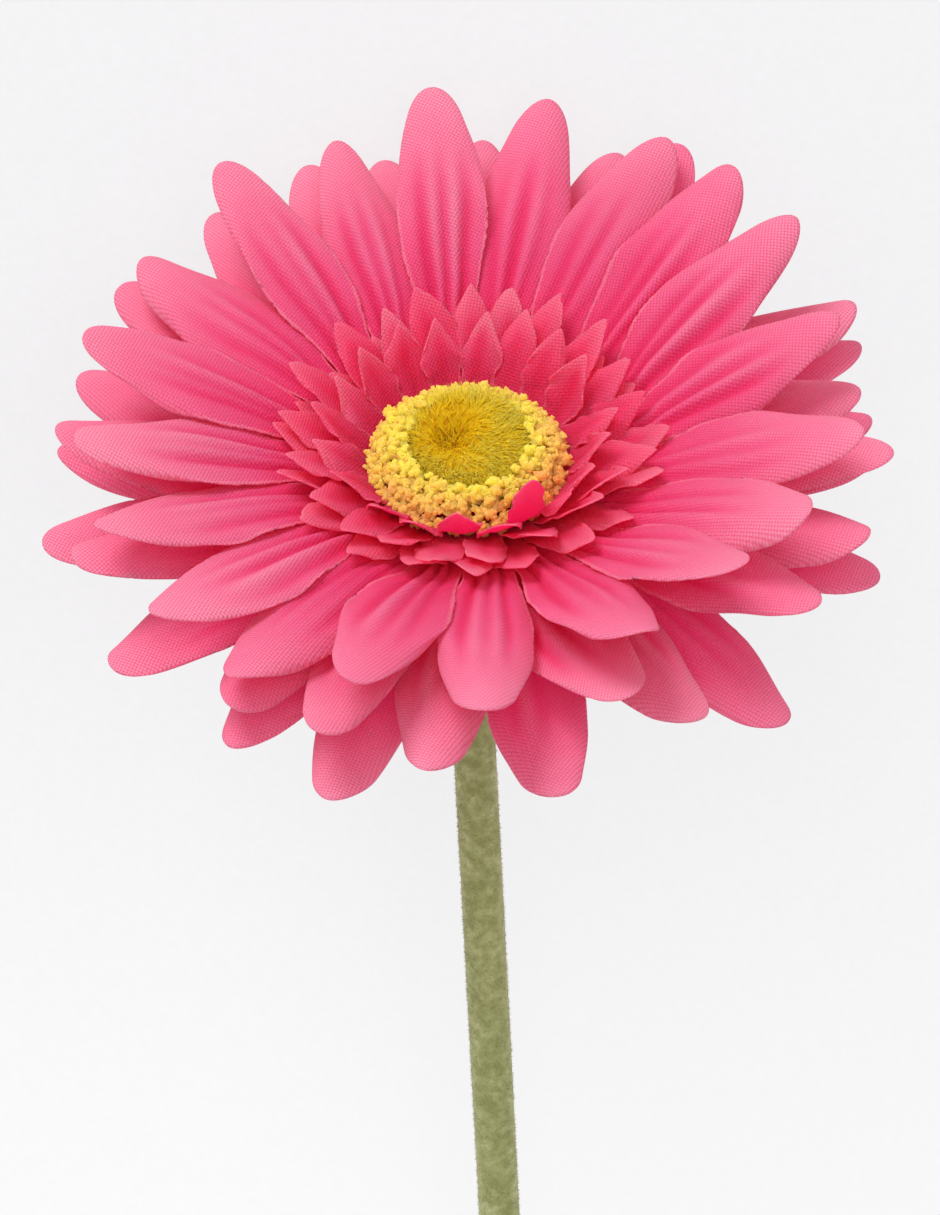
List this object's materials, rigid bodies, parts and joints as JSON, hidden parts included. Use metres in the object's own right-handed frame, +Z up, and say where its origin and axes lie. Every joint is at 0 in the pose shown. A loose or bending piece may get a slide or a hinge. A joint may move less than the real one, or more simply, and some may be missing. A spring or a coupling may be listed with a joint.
{
  "type": "artificial gerbera stem",
  "caption": "Artificial gerbera with pink slit-fabric petal discs, a yellow crumb ring and pile centre, on a bent green flocked wire stem that lies down.",
  "frame": {"origin": "middle of the bounding box, at the surface the flower lies on", "axes": "+Y along the lying stem towards the flower head, +Z up from the surface, +X to the right seen from the cut end"},
  "size_m": [0.1102, 0.3312, 0.0988],
  "materials": {
    "ray_cloth": "matt taffeta, pale cut edges",
    "floret_cloth": "matt taffeta, deeper pink",
    "crumb": "dyed foam crumbs",
    "pile": "short yellow pile",
    "green_moulding": "moulded, satin",
    "flocked_sleeve": "flocked, velvety",
    "bare_wire": "drawn steel wire"
  },
  "bodies": {
    "root": {"ray_disc_lower": "ray_cloth", "ray_disc_middle": "ray_cloth", "ray_disc_upper": "ray_cloth", "floret_disc_outer": "floret_cloth", "floret_disc_middle": "floret_cloth", "floret_disc_inner": "floret_cloth", "pollen_ring": "crumb", "centre_button": "pile", "hub_bush": "green_moulding", "calyx": "green_moulding", "stem_sleeve": "flocked_sleeve", "stem_wire": "bare_wire"}
  },
  "joints": []
}
